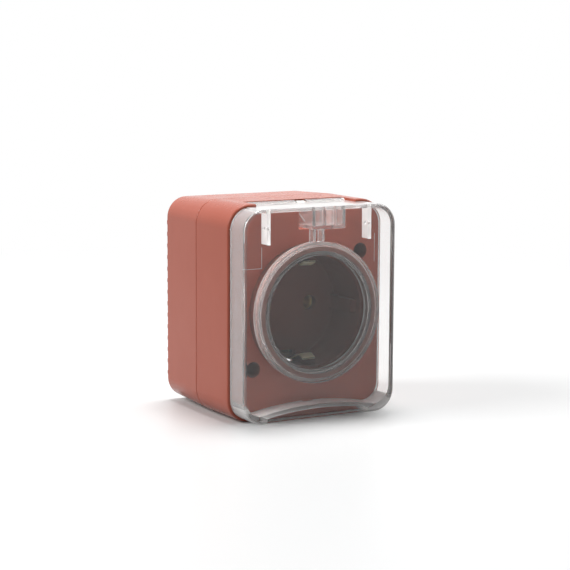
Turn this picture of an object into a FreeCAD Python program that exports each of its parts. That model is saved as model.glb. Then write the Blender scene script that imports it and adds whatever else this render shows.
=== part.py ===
"""Surface-mounted outdoor socket with side earth clips, a two-part housing and a clear sprung lid.

The frame: X runs to the right, Z up and the front looks along -Y. The origin is the centre of
the wall plane, between the four fixing holes. Sizes are millimetres. Stations along the depth
are counted outwards from the wall, so a station of 49 lies at y = -49.
"""
import FreeCAD, Part
import math
import os
from dataclasses import dataclass

import Sketcher
from FreeCAD import Placement, Rotation, Vector

SIZES = {
    # Housing
    "case_width": 63.4,
    "case_height": 76.8,
    "case_corner": 8.6,
    "base_depth": 25.4,
    "cover_depth": 23.6,
    "base_draft": 2.45,
    "base_wall": 3.0,
    "back_wall": 2.6,
    "cover_wall": 2.2,
    "front_wall": 2.2,
    "front_round": 0.9,
    "joint_bevel": 0.3,
    "skirt_bevel": 1.3,
    "skirt_inset": 0.2,
    "fit_gap": 0.1,
    "tool_overrun": 1.0,
    # Crush teeth round the rear edge
    "tooth_pitch": 4.3,
    "tooth_height": 1.5,
    "tooth_rise": 0.4,
    "tooth_width": 1.2,
    "tooth_reach": 1.44,
    # Seal between the housing halves
    "seal_width": 1.2,
    "seal_depth": 1.3,
    # Wall fixing and cable entry
    "fixing_side": 11.7,
    "fixing_end": 10.4,
    "fixing_radius": 2.1,
    "entry_radius": 7.0,
    "cable_radius": 4.1,
    "grommet_lip": 1.6,
    "grommet_lip_depth": 1.2,
    # Cover screws in their wells
    "cover_screw_side": 9.7,
    "cover_well_radius": 2.8,
    "cover_boss_wall": 1.6,
    "screw_seat": 1.5,
    "cover_screw_grip": 14.0,
    # Plug well
    "well_radius": 20.0,
    "well_depth": 17.5,
    "well_floor": 2.5,
    "collar_wall": 3.4,
    "collar_rise": 3.4,
    "flange_width": 1.6,
    "flange_depth": 1.5,
    "pin_pitch": 19.0,
    "pin_hole_radius": 2.65,
    "guide_width": 4.6,
    "guide_rise": 2.2,
    "guide_drop": 2.9,
    "clip_slot_width": 7.2,
    "clip_slot_depth": 1.4,
    # Earth strip and its two clips
    "clip_width": 5.0,
    "strip_thickness": 0.8,
    "strip_sink": 0.16,
    "clip_leg_inset": 1.7,
    "clip_spring_in": 2.6,
    "clip_contact_drop": 4.6,
    "clip_tip_rise": 1.3,
    "clip_bend_drop": 11.0,
    # Contacts and terminals
    "sleeve_radius": 3.1,
    "sleeve_bore": 2.4,
    "sleeve_length": 14.4,
    "sleeve_slit": 1.0,
    "carrier_side": 7.5,
    "carrier_foot": 1.7,
    "carrier_wall": 1.3,
    "carrier_floor": 6.2,
    "carrier_corner": 2.0,
    "contact_clearance": 0.9,
    "terminal_lift": 7.2,
    "terminal_width": 7.0,
    "terminal_height": 7.0,
    "terminal_depth": 8.0,
    "wire_radius": 1.5,
    "carrier_screw_side": 3.8,
    "carrier_screw_foot": 8.0,
    "carrier_screw_seat": 3.2,
    "post_radius": 3.4,
    # Screws
    "cover_shank": 1.75,
    "cover_head": 2.6,
    "small_shank": 1.4,
    "small_head": 2.5,
    "terminal_shank": 1.3,
    "terminal_head": 2.1,
    "head_height": 1.8,
    "drive_width": 0.8,
    "drive_share": 0.6,
    "crown_share": 0.7,
    "point_share": 0.3,
    # Lid
    "lid_side": 0.8,
    "lid_end": 0.9,
    "lid_depth": 10.4,
    "lid_wall": 1.35,
    "lid_plate": 2.3,
    "lid_round": 1.1,
    "arch_side": 2.6,
    "arch_middle": 4.9,
    "grip_inset": 2.1,
    "catch_width": 3.8,
    "catch_rise": 1.2,
    # Seal ring of the lid
    "rib_overhang": 1.6,
    "rib_inset": 0.4,
    "rib_outer_wall": 1.5,
    "rib_inner_wall": 1.3,
    "rib_rise": 3.1,
    "ring_stand_off": 0.25,
    # Ears, box and rails of the lid
    "ear_thickness": 1.2,
    "ear_height": 11.1,
    "ear_depth": 4.2,
    "ear_dimple_radius": 0.6,
    "box_left": 3.0,
    "box_right": 10.4,
    "box_height": 6.7,
    "box_wall": 1.1,
    "bar_width": 1.2,
    "bar_depth": 6.0,
    "bar_shift": 0.4,
    "rail_depth": 3.1,
    "rail_width": 1.0,
    "rail_left": 2.6,
    "rail_right": 1.8,
    # Hinge
    "flap_inset": 10.9,
    "hinge_depth": 7.8,
    "hinge_drop": 1.7,
    "pin_radius": 0.8,
    "pin_overhang": 1.8,
    "running_gap": 0.06,
    "barrel_radius": 1.6,
    "hinge_gap": 0.35,
    "pocket_gap": 0.6,
    "pocket_wall": 1.6,
    "spring_bay": 4.6,
    "spring_x": 1.8,
    "spring_wire": 0.5,
    "spring_coils": 6,
    "spring_lean": 32.0,
    "spring_leg": 8.4,
    "spring_tail": 1.2,
}

# Worked-out sizes, each a formula of the ones above
FORMULAS = {
    "parting": "=base_depth",
    "face": "=base_depth + cover_depth",
    "fixing_x": "=case_width - 2 * fixing_side",
    "fixing_z": "=case_height - 2 * fixing_end",
    "entry_out": "=base_depth / 2",
    "tooth_room": "=case_height - 2 * case_corner - tooth_height",
    "tooth_count": "=floor(tooth_room / tooth_pitch) + 1",
    "collar_radius": "=well_radius + collar_wall",
    "flange_radius": "=collar_radius + flange_width",
    "boss_radius": "=cover_well_radius + cover_boss_wall",
    "cover_screw_reach": "=flange_radius + boss_radius + 2 * fit_gap",
    "cover_screw_x": "=case_width / 2 - cover_screw_side",
    "cover_screw_z": "=sqrt(cover_screw_reach ^ 2 - cover_screw_x ^ 2)",
    "clip_leg_z": "=well_radius - clip_leg_inset",
    "clip_contact_z": "=clip_leg_z - clip_spring_in",
    "lid_width": "=case_width - 2 * lid_side",
    "lid_height": "=case_height - 2 * lid_end",
    "lid_corner": "=case_corner - lid_side",
    "ring_outer": "=collar_radius + rib_overhang",
    "ring_inner": "=well_radius + rib_inset",
    "flap_half": "=lid_width / 2 - flap_inset",
    "ear_x": "=flap_half",
    "pin_length": "=2 * (flap_half + pin_overhang)",
    "axis_out": "=face - hinge_depth",
    "axis_z": "=case_height / 2 - hinge_drop",
    "cover_back": "=face - front_wall",
    "base_shrink": "=(base_depth - tooth_rise) * tan(base_draft * 1deg)",
    "wall_half_width": "=case_width / 2 - base_shrink",
    "wall_half_height": "=case_height / 2 - base_shrink",
    "wall_corner": "=case_corner - base_shrink",
    "rim": "=face + collar_rise",
    "well_bottom": "=rim - well_depth",
    "floor_back": "=well_bottom - well_floor",
    "carrier_front": "=floor_back - fit_gap",
    "strip_front": "=carrier_front - strip_sink",
    "strip_back": "=strip_front - strip_thickness",
    "sleeve_front": "=carrier_front - contact_clearance",
    "sleeve_back": "=sleeve_front - sleeve_length",
    "tail_back": "=sleeve_back - strip_thickness",
    "terminal_z": "=well_radius + terminal_lift",
    "carrier_half_width": "=pin_pitch / 2 + carrier_side",
    "carrier_bottom": "=clip_leg_z + carrier_foot",
    "carrier_top": "=terminal_z + terminal_height / 2 + carrier_wall",
    "carrier_rear": "=tail_back - carrier_floor",
    "carrier_screw_x": "=carrier_half_width - carrier_screw_side",
    "carrier_screw_z": "=carrier_bottom - carrier_screw_foot",
    "lid_back": "=face + fit_gap",
    "lid_front": "=lid_back + lid_depth",
    "plate_back": "=lid_front - lid_plate",
    "lid_bottom": "=-lid_height / 2",
    "lid_top": "=lid_height / 2",
    "flap_bottom": "=lid_top - lid_wall",
    "box_bottom": "=flap_bottom - box_height",
    "box_back": "=axis_out + barrel_radius + hinge_gap",
    "cover_seat": "=base_depth + screw_seat + 2 * fit_gap",
    "entry_slope": "=tan(base_draft * 1deg)",
    "entry_outside": "=-case_height / 2 + (base_depth - entry_out) * entry_slope",
    "entry_inside": "=entry_outside + base_wall + (entry_radius + grommet_lip) * entry_slope",
    "seal_inset": "=(base_wall - seal_width) / 2",
    "arch_half": "=lid_width / 2 - lid_corner",
    "arch_lift": "=arch_middle - arch_side",
    "grip_half": "=arch_half - grip_inset",
    "arch_radius": "=(arch_half ^ 2 + arch_lift ^ 2) / (2 * arch_lift)",
    "recess_floor": "=flap_bottom - hinge_gap",
    "bay_left": "=spring_x - spring_bay / 2",
    "bay_right": "=spring_x + spring_bay / 2",
    "coil_radius": "=pin_radius + running_gap + spring_wire / 2",
}

EDGE_TOLERANCE = 0.05
PLANE_ROLES = {"front": "XZ_Plane", "level": "XY_Plane", "side": "YZ_Plane"}

document = FreeCAD.newDocument("outdoor_socket")
dims = document.addObject("Spreadsheet::Sheet", "dims")


def fill_sheet():
    """Writes each driving size, then each formula, to its own row, and gives the cell its alias."""
    for row, (name, value) in enumerate({**SIZES, **FORMULAS}.items(), start=1):
        dims.set(f"A{row}", name)
        dims.set(f"B{row}", str(value))
        dims.setAlias(f"B{row}", name)
    document.recompute()


def bound(expression):
    """Returns the expression with each name of the sheet written as a reference to its cell."""
    words = []
    word = ""
    for letter in expression + " ":
        if letter.isalnum() or letter == "_":
            word += letter
            continue
        words.append(f"dims.{word}" if word in SIZES or word in FORMULAS else word)
        words.append(letter)
        word = ""
    return "".join(words).strip()


def value(expression):
    """Works out an expression of the sheet's names as a plain number."""
    result = dims.evalExpression(bound(expression))
    return float(getattr(result, "Value", result))


@dataclass
class Corner:
    """A corner of an outline. A bend is the radius of the edge that leaves it, if that edge is round."""
    across: str
    up: str
    bend: str = ""
    hollow: bool = False


def arc_between(first, last, radius, hollow):
    """Returns the short arc from first to last: bulging to the right of the way, or hollow to its left."""
    middle = (first + last) * 0.5
    chord = last - first
    reach = math.sqrt(max(radius * radius - (chord.Length / 2) ** 2, 0))
    left = Vector(-chord.y, chord.x, 0).normalize()
    centre = middle + left * (-reach if hollow else reach)
    low, high = (last, first) if hollow else (first, last)
    start = math.atan2(low.y - centre.y, low.x - centre.x)
    end = math.atan2(high.y - centre.y, high.x - centre.x)
    if end < start:
        end += 2 * math.pi
    return Part.ArcOfCircle(Part.Circle(centre, Vector(0, 0, 1), radius), start, end)


def tie(sketch, kind, edge, end, expression):
    """Ties one end of an edge to the sketch's origin along one axis, by an expression of the sheet."""
    distance = value(expression)
    if expression == "0":
        axis = -2 if kind == "DistanceX" else -1
        sketch.addConstraint(Sketcher.Constraint("PointOnObject", edge, end, axis))
        return
    index = sketch.addConstraint(Sketcher.Constraint(kind, -1, 1, edge, end, distance))
    sketch.setExpression(f"Constraints[{index}]", bound(expression))


def outline(sketch, corners):
    """Draws a closed outline through the corners, counter-clockwise, and fixes each by the sheet."""
    spots = [Vector(value(c.across), value(c.up), 0) for c in corners]
    first_edge = sketch.GeometryCount
    count = len(corners)
    ends = []
    for i, corner in enumerate(corners):
        a, b = spots[i], spots[(i + 1) % count]
        if corner.bend:
            sketch.addGeometry(arc_between(a, b, value(corner.bend), corner.hollow), False)
            ends.append((2, 1) if corner.hollow else (1, 2))
        else:
            sketch.addGeometry(Part.LineSegment(a, b), False)
            ends.append((1, 2))
    for i, corner in enumerate(corners):
        edge, after = first_edge + i, first_edge + (i + 1) % count
        sketch.addConstraint(
            Sketcher.Constraint("Coincident", edge, ends[i][1], after, ends[(i + 1) % count][0]))
        tie(sketch, "DistanceX", edge, ends[i][0], corner.across)
        tie(sketch, "DistanceY", edge, ends[i][0], corner.up)
        if corner.bend:
            index = sketch.addConstraint(Sketcher.Constraint("Radius", edge, value(corner.bend)))
            sketch.setExpression(f"Constraints[{index}]", bound(corner.bend))


def disc(sketch, across, up, radius):
    """Draws a circle whose centre and radius come from the sheet."""
    centre = Vector(value(across), value(up), 0)
    edge = sketch.addGeometry(Part.Circle(centre, Vector(0, 0, 1), value(radius)), False)
    tie(sketch, "DistanceX", edge, 3, across)
    tie(sketch, "DistanceY", edge, 3, up)
    index = sketch.addConstraint(Sketcher.Constraint("Radius", edge, value(radius)))
    sketch.setExpression(f"Constraints[{index}]", bound(radius))


def rectangle(sketch, left, right, bottom, top):
    """Draws a plain rectangle between four positions."""
    outline(sketch, [Corner(left, bottom), Corner(right, bottom), Corner(right, top), Corner(left, top)])


def rounded(sketch, half_width, half_height, radius):
    """Draws a rectangle about the origin with round corners."""
    w, h, r = f"({half_width})", f"({half_height})", f"({radius})"
    outline(sketch, [
        Corner(f"-{w} + {r}", f"-{h}"), Corner(f"{w} - {r}", f"-{h}", r),
        Corner(w, f"-{h} + {r}"), Corner(w, f"{h} - {r}", r),
        Corner(f"{w} - {r}", h), Corner(f"-{w} + {r}", h, r),
        Corner(f"-{w}", f"{h} - {r}"), Corner(f"-{w}", f"-{h} + {r}", r)])


def new_body(label):
    """Starts a sub-part with its own label."""
    body = document.addObject("PartDesign::Body", label)
    body.Label = label
    return body


def new_sketch(body, name, plane, station, draw):
    """Adds a sketch to one of the body's own planes, moved along its normal to a station."""
    sketch = body.newObject("Sketcher::SketchObject", f"{body.Name}_{name}_sketch")
    origin_plane = [f for f in body.Origin.OriginFeatures if f.Role == PLANE_ROLES[plane]][0]
    sketch.AttachmentSupport = (origin_plane, [""])
    sketch.MapMode = "FlatFace"
    if station != "0":
        sketch.setExpression("AttachmentOffset.Base.z", bound(station))
    draw(sketch)
    sketch.Visibility = False
    return sketch


def settled(body, before, grows):
    """Recomputes and makes sure that the last feature changed the body as it was meant to."""
    document.recompute()
    after = body.Shape.Volume
    if grows != (after > before) or after == before:
        raise RuntimeError(f"{body.Label}: {body.Tip.Name} did not change the solid as it should")


def pad(body, name, plane, station, length, draw, draft=None, backwards=False):
    """Adds material from a station, for a length, along the plane's normal or against it."""
    before = body.Shape.Volume if body.Tip else 0.0
    feature_sketch = new_sketch(body, name, plane, station, draw)
    feature = body.newObject("PartDesign::Pad", f"{body.Name}_{name}")
    feature.Profile = feature_sketch
    feature.setExpression("Length", bound(length))
    feature.Reversed = backwards
    if draft:
        feature.setExpression("TaperAngle", bound(draft))
    settled(body, before, True)
    return feature


def cut(body, name, plane, station, length, draw, draft=None, backwards=False):
    """Takes material away from a station, for a length, along the plane's normal or against it."""
    before = body.Shape.Volume
    feature_sketch = new_sketch(body, name, plane, station, draw)
    feature = body.newObject("PartDesign::Pocket", f"{body.Name}_{name}")
    feature.Profile = feature_sketch
    feature.setExpression("Length", bound(length))
    feature.Reversed = not backwards
    if draft:
        feature.setExpression("TaperAngle", bound(draft))
    settled(body, before, False)
    return feature


def turn(body, name, corners, grooved=False):
    """Adds, or takes away, a solid of revolution about the Y axis, with its profile on the side plane."""
    before = body.Shape.Volume if body.Tip else 0.0
    feature_sketch = new_sketch(body, name, "side", "0", lambda s: outline(s, corners))
    kind = "PartDesign::Groove" if grooved else "PartDesign::Revolution"
    feature = body.newObject(kind, f"{body.Name}_{name}")
    feature.Profile = feature_sketch
    feature.ReferenceAxis = (feature_sketch, ["H_Axis"])
    feature.Angle = 360
    settled(body, before, not grooved)
    return feature


def edges_where(shape, test):
    """Returns the names of the edges that pass a test."""
    return [f"Edge{i}" for i, edge in enumerate(shape.Edges, start=1) if test(edge)]


def at_station(edge, station):
    """Tells whether the whole edge lies on the plane of a station."""
    box = edge.BoundBox
    return max(abs(box.YMin + station), abs(box.YMax + station)) < EDGE_TOLERANCE


def soften(body, name, kind, size, test, second_size=None):
    """Rounds or bevels the edges of the body that pass the test."""
    before = body.Shape.Volume
    base = body.Tip
    names = edges_where(base.Shape, test)
    if not names:
        raise RuntimeError(f"{body.Label}: no edge for {name}")
    feature = body.newObject(f"PartDesign::{kind}", f"{body.Name}_{name}")
    feature.Base = (base, names)
    if kind == "Fillet":
        feature.setExpression("Radius", bound(size))
    else:
        feature.setExpression("Size", bound(size))
        if second_size:
            feature.ChamferType = "Two distances"
            feature.setExpression("Size2", bound(second_size))
    document.recompute()
    if body.Shape.isNull() or body.Shape.Volume == before:
        raise RuntimeError(f"{body.Label}: {name} changed nothing")
    return feature


def place(body, across, out, up, rotation=None):
    """Moves a sub-part to its place in the product, by expressions of the sheet."""
    body.Placement = Placement(Vector(0, 0, 0), rotation or Rotation())
    body.setExpression("Placement.Base.x", bound(across))
    body.setExpression("Placement.Base.y", bound(f"-({out})"))
    body.setExpression("Placement.Base.z", bound(up))
    document.recompute()


def diagonal(sketch, across, up, radius):
    """Draws two equal circles, upper right and lower left of the origin."""
    disc(sketch, across, up, radius)
    disc(sketch, f"-{across}", f"-{up}", radius)


def pair(sketch, across, up, radius):
    """Draws two equal circles, one each side of the middle."""
    disc(sketch, f"-{across}", up, radius)
    disc(sketch, across, up, radius)


def make_rear_housing():
    """The wall half: a drafted tray with its posts, cable entry, seal groove and crush teeth."""
    body = new_body("rear_housing")
    shell_depth = "base_depth - tooth_rise"
    pad(body, "shell", "front", "parting", shell_depth,
        lambda s: rounded(s, "case_width / 2", "case_height / 2", "case_corner"),
        draft="-base_draft * 1deg", backwards=True)
    rear = value("tooth_rise")
    soften(body, "rear_bevel", "Chamfer", "joint_bevel", lambda e: at_station(e, rear))
    pad(body, "wall_pad", "front", "0", "tooth_rise + back_wall / 2",
        lambda s: rounded(s, "wall_half_width - tooth_width", "wall_half_height - tooth_width",
                          "wall_corner - tooth_width"))
    cut(body, "hollow", "front", "parting", "base_depth - back_wall",
        lambda s: rounded(s, "case_width / 2 - base_wall", "case_height / 2 - base_wall",
                          "case_corner - base_wall"),
        draft="-base_draft * 1deg", backwards=True)
    post_top = "parting - fit_gap - back_wall / 2"
    pad(body, "cover_posts", "front", "back_wall / 2", post_top,
        lambda s: diagonal(s, "cover_screw_x", "cover_screw_z", "boss_radius"))
    cut(body, "cover_pilots", "front", "parting - cover_screw_grip", "cover_screw_grip",
        lambda s: diagonal(s, "cover_screw_x", "cover_screw_z", "cover_shank + running_gap"))
    pad(body, "carrier_posts", "front", "back_wall / 2", "carrier_rear - back_wall / 2",
        lambda s: pair(s, "carrier_screw_x", "-carrier_screw_z", "post_radius"))
    cut(body, "carrier_pilots", "front", "back_wall / 2", "carrier_rear - back_wall / 2",
        lambda s: pair(s, "carrier_screw_x", "-carrier_screw_z", "small_shank + running_gap"))

    def fixing_holes(sketch):
        for across in ("-fixing_x / 2", "fixing_x / 2"):
            for up in ("-fixing_z / 2", "fixing_z / 2"):
                disc(sketch, across, up, "fixing_radius")

    cut(body, "fixing_holes", "front", "0", "back_wall + tooth_rise", fixing_holes)
    cut(body, "cable_entry", "level", "-case_height / 2", "2 * base_wall",
        lambda s: disc(s, "0", "-entry_out", "entry_radius"))

    def seal_groove(sketch):
        for inset in ("seal_inset", "seal_inset + seal_width"):
            rounded(sketch, f"case_width / 2 - ({inset})", f"case_height / 2 - ({inset})",
                    f"case_corner - ({inset})")

    cut(body, "seal_groove", "front", "parting", "seal_depth", seal_groove, backwards=True)
    front, outer = value("parting"), value("case_width / 2 - seal_inset")
    soften(body, "joint_bevel", "Chamfer", "joint_bevel",
           lambda e: at_station(e, front) and reaches_out(e, outer))
    teeth = pad(body, "tooth", "front", "0", "2 * tooth_rise", first_teeth)
    pattern = body.newObject("PartDesign::LinearPattern", "rear_housing_teeth")
    pattern.Originals = [teeth]
    pattern.Direction = (teeth.Profile[0], ["V_Axis"])
    pattern.Mode = "Extent"
    pattern.setExpression("Length", bound("tooth_pitch * (tooth_count - 1)"))
    pattern.setExpression("Occurrences", bound("tooth_count"))
    body.Tip = pattern
    document.recompute()
    return body


def reaches_out(edge, half_width):
    """Tells whether the middle of an edge lies outside an inner outline of the housing."""
    half_height = half_width + value("(case_height - case_width) / 2")
    corner = value("case_corner - seal_inset")
    middle = edge.valueAt((edge.FirstParameter + edge.LastParameter) / 2)
    across = max(abs(middle.x) - (half_width - corner), 0)
    up = max(abs(middle.z) - (half_height - corner), 0)
    return math.hypot(across, up) > corner + EDGE_TOLERANCE


def first_teeth(sketch):
    """The lowest crush tooth on each side of the rear edge."""
    bottom = "-tooth_pitch * (tooth_count - 1) / 2 - tooth_height / 2"
    top = "-tooth_pitch * (tooth_count - 1) / 2 + tooth_height / 2"
    inner = "wall_half_width - joint_bevel / 2 - tooth_reach"
    outer = "wall_half_width - joint_bevel / 2"
    rectangle(sketch, f"-({outer})", f"-({inner})", bottom, top)
    rectangle(sketch, inner, outer, bottom, top)


def make_front_housing():
    """The cover half: its face with the collar opening, screw wells, hinge recess and catch."""
    body = new_body("front_housing")
    pad(body, "shell", "front", "parting", "cover_depth",
        lambda s: rounded(s, "case_width / 2", "case_height / 2", "case_corner"))
    face, parting = value("face"), value("parting")
    soften(body, "face_round", "Fillet", "front_round", lambda e: at_station(e, face))
    soften(body, "skirt", "Chamfer", "skirt_inset", lambda e: at_station(e, parting), "skirt_bevel")
    cut(body, "hollow", "front", "parting", "cover_depth - front_wall",
        lambda s: rounded(s, "case_width / 2 - cover_wall", "case_height / 2 - cover_wall",
                          "case_corner - cover_wall"))
    cut(body, "collar_opening", "front", "cover_back", "front_wall",
        lambda s: disc(s, "0", "0", "collar_radius + fit_gap"))
    pad(body, "screw_bosses", "front", "parting + 2 * fit_gap", "cover_back - parting - fit_gap",
        lambda s: diagonal(s, "cover_screw_x", "cover_screw_z", "boss_radius"))
    cut(body, "screw_wells", "front", "cover_seat", "face - cover_seat",
        lambda s: diagonal(s, "cover_screw_x", "cover_screw_z", "cover_well_radius"))
    cut(body, "screw_holes", "front", "parting", "2 * screw_seat",
        lambda s: diagonal(s, "cover_screw_x", "cover_screw_z", "cover_shank + fit_gap"))
    block_back = "axis_out - barrel_radius - hinge_gap - pocket_wall"
    block_left, block_right = "-(pin_length / 2 + pocket_wall)", "pin_length / 2 + pocket_wall"
    pad(body, "hinge_block", "front", block_back, f"cover_back - ({block_back}) + fit_gap",
        lambda s: rectangle(s, block_left, block_right, "axis_z - barrel_radius - hinge_gap - pocket_wall",
                            "case_height / 2 - cover_wall / 2"))
    pocket_left = "-(box_left + pocket_gap)"
    pocket_right = "box_right + pocket_gap"
    pocket_bottom = "box_bottom - pocket_gap"
    pad(body, "pocket_block", "front", block_back, f"cover_back - ({block_back}) + fit_gap",
        lambda s: rectangle(s, f"{pocket_left} - pocket_wall", f"{pocket_right} + pocket_wall",
                            f"{pocket_bottom} - pocket_wall", "case_height / 2 - cover_wall / 2"))
    above_case = "case_height / 2 + tool_overrun"
    half_recess = "flap_half + hinge_gap"
    cut(body, "flap_recess", "front", "axis_out", "face - axis_out",
        lambda s: rectangle(s, f"-({half_recess})", half_recess, "recess_floor", above_case))
    bed_radius = "(barrel_radius + hinge_gap)"
    cut(body, "barrel_bed", "side", f"-({half_recess})", f"2 * ({half_recess})",
        lambda s: disc(s, "-axis_out", "axis_z", bed_radius))
    cut(body, "barrel_mouth", "front", f"axis_out - {bed_radius}", bed_radius,
        lambda s: rectangle(s, f"-({half_recess})", half_recess, "axis_z", above_case))
    cut(body, "box_pocket", "front", "box_back - pocket_gap", "face - box_back + pocket_gap",
        lambda s: rectangle(s, pocket_left, pocket_right, pocket_bottom, above_case))
    cut(body, "leg_slot", "front", "axis_out", "box_back - axis_out",
        lambda s: rectangle(s, "bay_left", "bay_right", "axis_z - 2 * barrel_radius", "axis_z"))
    cut(body, "pin_bore", "side", "-(pin_length / 2 + fit_gap)", "pin_length + 2 * fit_gap",
        lambda s: disc(s, "-axis_out", "axis_z", "pin_radius + running_gap / 2"))
    catch_bottom = "lid_bottom + arch_middle - lid_wall - fit_gap"
    pad(body, "catch", "front", "face - front_wall / 2", "front_wall / 2 + catch_rise",
        lambda s: rectangle(s, "-catch_width / 2", "catch_width / 2", catch_bottom,
                            "lid_bottom + arch_middle"))
    return body


def make_housing_seal():
    """The soft cord that lies in the groove between the housing halves."""
    body = new_body("housing_seal")

    def ring(sketch):
        for inset in ("seal_inset + fit_gap", "seal_inset + seal_width - fit_gap"):
            rounded(sketch, f"case_width / 2 - ({inset})", f"case_height / 2 - ({inset})",
                    f"case_corner - ({inset})")

    pad(body, "cord", "front", "parting - seal_depth", "seal_depth - fit_gap / 2", ring)
    return body


def make_well_insert():
    """The plug well: a turned cup with its collar, flange, guide ribs, pin holes and clip slots."""
    body = new_body("well_insert")
    turn(body, "cup", [
        Corner("-floor_back", "0"), Corner("-floor_back", "collar_radius"),
        Corner("-(cover_back - fit_gap - flange_depth)", "collar_radius"),
        Corner("-(cover_back - fit_gap - flange_depth)", "flange_radius"),
        Corner("-(cover_back - fit_gap)", "flange_radius"),
        Corner("-(cover_back - fit_gap)", "collar_radius"),
        Corner("-rim", "collar_radius"), Corner("-rim", "well_radius"),
        Corner("-well_bottom", "well_radius"), Corner("-well_bottom", "0")])
    rim = value("rim")
    soften(body, "rim_round", "Fillet", "front_round / 2", lambda e: at_station(e, rim))

    def guides(sketch):
        inner, outer = "well_radius - guide_rise", "well_radius + guide_rise / 2"
        rectangle(sketch, f"-({outer})", f"-({inner})", "-guide_width / 2", "guide_width / 2")
        rectangle(sketch, inner, outer, "-guide_width / 2", "guide_width / 2")

    pad(body, "guides", "front", "well_bottom - well_floor / 2",
        "well_depth - guide_drop + well_floor / 2", guides)

    def clip_slots(sketch):
        inner, outer = "clip_leg_z - 2 * strip_thickness", "well_radius + clip_slot_depth"
        rectangle(sketch, "-clip_slot_width / 2", "clip_slot_width / 2", f"-({outer})", f"-({inner})")
        rectangle(sketch, "-clip_slot_width / 2", "clip_slot_width / 2", inner, outer)

    cut(body, "clip_slots", "front", "floor_back", "well_floor + well_depth - guide_drop", clip_slots)

    def pin_holes(sketch):
        disc(sketch, "-pin_pitch / 2", "0", "pin_hole_radius")
        disc(sketch, "pin_pitch / 2", "0", "pin_hole_radius")

    cut(body, "pin_holes", "front", "floor_back", "well_floor", pin_holes)
    return body


def make_contact_carrier():
    """The moulded block behind the well that holds the contacts and the terminals."""
    body = new_body("contact_carrier")
    pad(body, "block", "front", "carrier_rear", "carrier_front - carrier_rear",
        lambda s: rectangle(s, "-carrier_half_width", "carrier_half_width", "-carrier_bottom",
                            "carrier_top"))
    long_edge = value("carrier_front - carrier_rear") - EDGE_TOLERANCE
    soften(body, "corners", "Fillet", "carrier_corner", lambda e: e.BoundBox.YLength > long_edge)

    def sleeve_bores(sketch):
        for side in ("-", ""):
            disc(sketch, f"{side}pin_pitch / 2", "0", "sleeve_radius + 4 * fit_gap")

    cut(body, "sleeve_bores", "front", "tail_back", "carrier_front - tail_back", sleeve_bores)

    half_cell = "(terminal_width / 2 + 2 * fit_gap)"

    def cells(sketch):
        for centre in ("-pin_pitch / 2", "0", "pin_pitch / 2"):
            rectangle(sketch, f"{centre} - {half_cell}", f"{centre} + {half_cell}",
                      "terminal_z - terminal_height / 2 - 2 * fit_gap",
                      "terminal_z + terminal_height / 2 + 2 * fit_gap")

    cut(body, "cells", "front", "tail_back", "carrier_front - tail_back", cells)

    def tail_grooves(sketch):
        half = "(sleeve_radius - 2 * fit_gap)"
        for side in ("-", ""):
            centre = f"{side}pin_pitch / 2"
            rectangle(sketch, f"{centre} - {half}", f"{centre} + {half}", "0", "terminal_z")

    cut(body, "tail_grooves", "front", "tail_back", "carrier_front - tail_back", tail_grooves)

    def strip_groove(sketch):
        half = "(clip_width / 2 + 2 * fit_gap)"
        rectangle(sketch, f"-{half}", half, "-(clip_leg_z + strip_thickness + 2 * fit_gap)", "terminal_z")

    cut(body, "strip_groove", "front", "strip_back - fit_gap", "carrier_front - strip_back + fit_gap",
        strip_groove)
    cut(body, "screw_seats", "front", "carrier_rear + carrier_screw_seat",
        "carrier_front - carrier_rear - carrier_screw_seat",
        lambda s: pair(s, "carrier_screw_x", "-carrier_screw_z", "small_head + 3 * fit_gap"))
    cut(body, "screw_holes", "front", "carrier_rear", "carrier_screw_seat",
        lambda s: pair(s, "carrier_screw_x", "-carrier_screw_z", "small_shank + fit_gap"))

    def wire_holes(sketch):
        for centre in ("-pin_pitch / 2", "pin_pitch / 2"):
            disc(sketch, centre, "-(sleeve_back + terminal_depth / 2)", "wire_radius + 2 * fit_gap")
        disc(sketch, "0", "-(strip_back - terminal_depth / 2)", "wire_radius + 2 * fit_gap")

    cut(body, "wire_holes", "level", "carrier_top", "carrier_top - terminal_z", wire_holes,
        backwards=True)
    return body


def make_contact(label, side):
    """A slit pin sleeve with the flat tail that carries its terminal."""
    body = new_body(label)
    pad(body, "tail", "front", "tail_back", "strip_thickness",
        lambda s: rectangle(s, "-(sleeve_radius - 4 * fit_gap)", "sleeve_radius - 4 * fit_gap", "0",
                            "terminal_z + terminal_height / 2"))
    pad(body, "sleeve", "front", "tail_back", "sleeve_length + strip_thickness",
        lambda s: disc(s, "0", "0", "sleeve_radius"))
    cut(body, "bore", "front", "sleeve_back", "sleeve_length",
        lambda s: disc(s, "0", "0", "sleeve_bore"))
    front = value("sleeve_front")
    inner = 2 * value("sleeve_bore") + EDGE_TOLERANCE
    soften(body, "mouth", "Chamfer", "(sleeve_radius - sleeve_bore) / 2",
           lambda e: at_station(e, front) and e.BoundBox.XLength < inner)
    cut(body, "slit", "front", "sleeve_back + 2 * sleeve_radius", "sleeve_length",
        lambda s: rectangle(s, "-sleeve_slit / 2", "sleeve_slit / 2", "-(sleeve_radius + tool_overrun)",
                            "sleeve_radius + tool_overrun"))
    place(body, f"{side}pin_pitch / 2", "0", "0")
    return body


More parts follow.
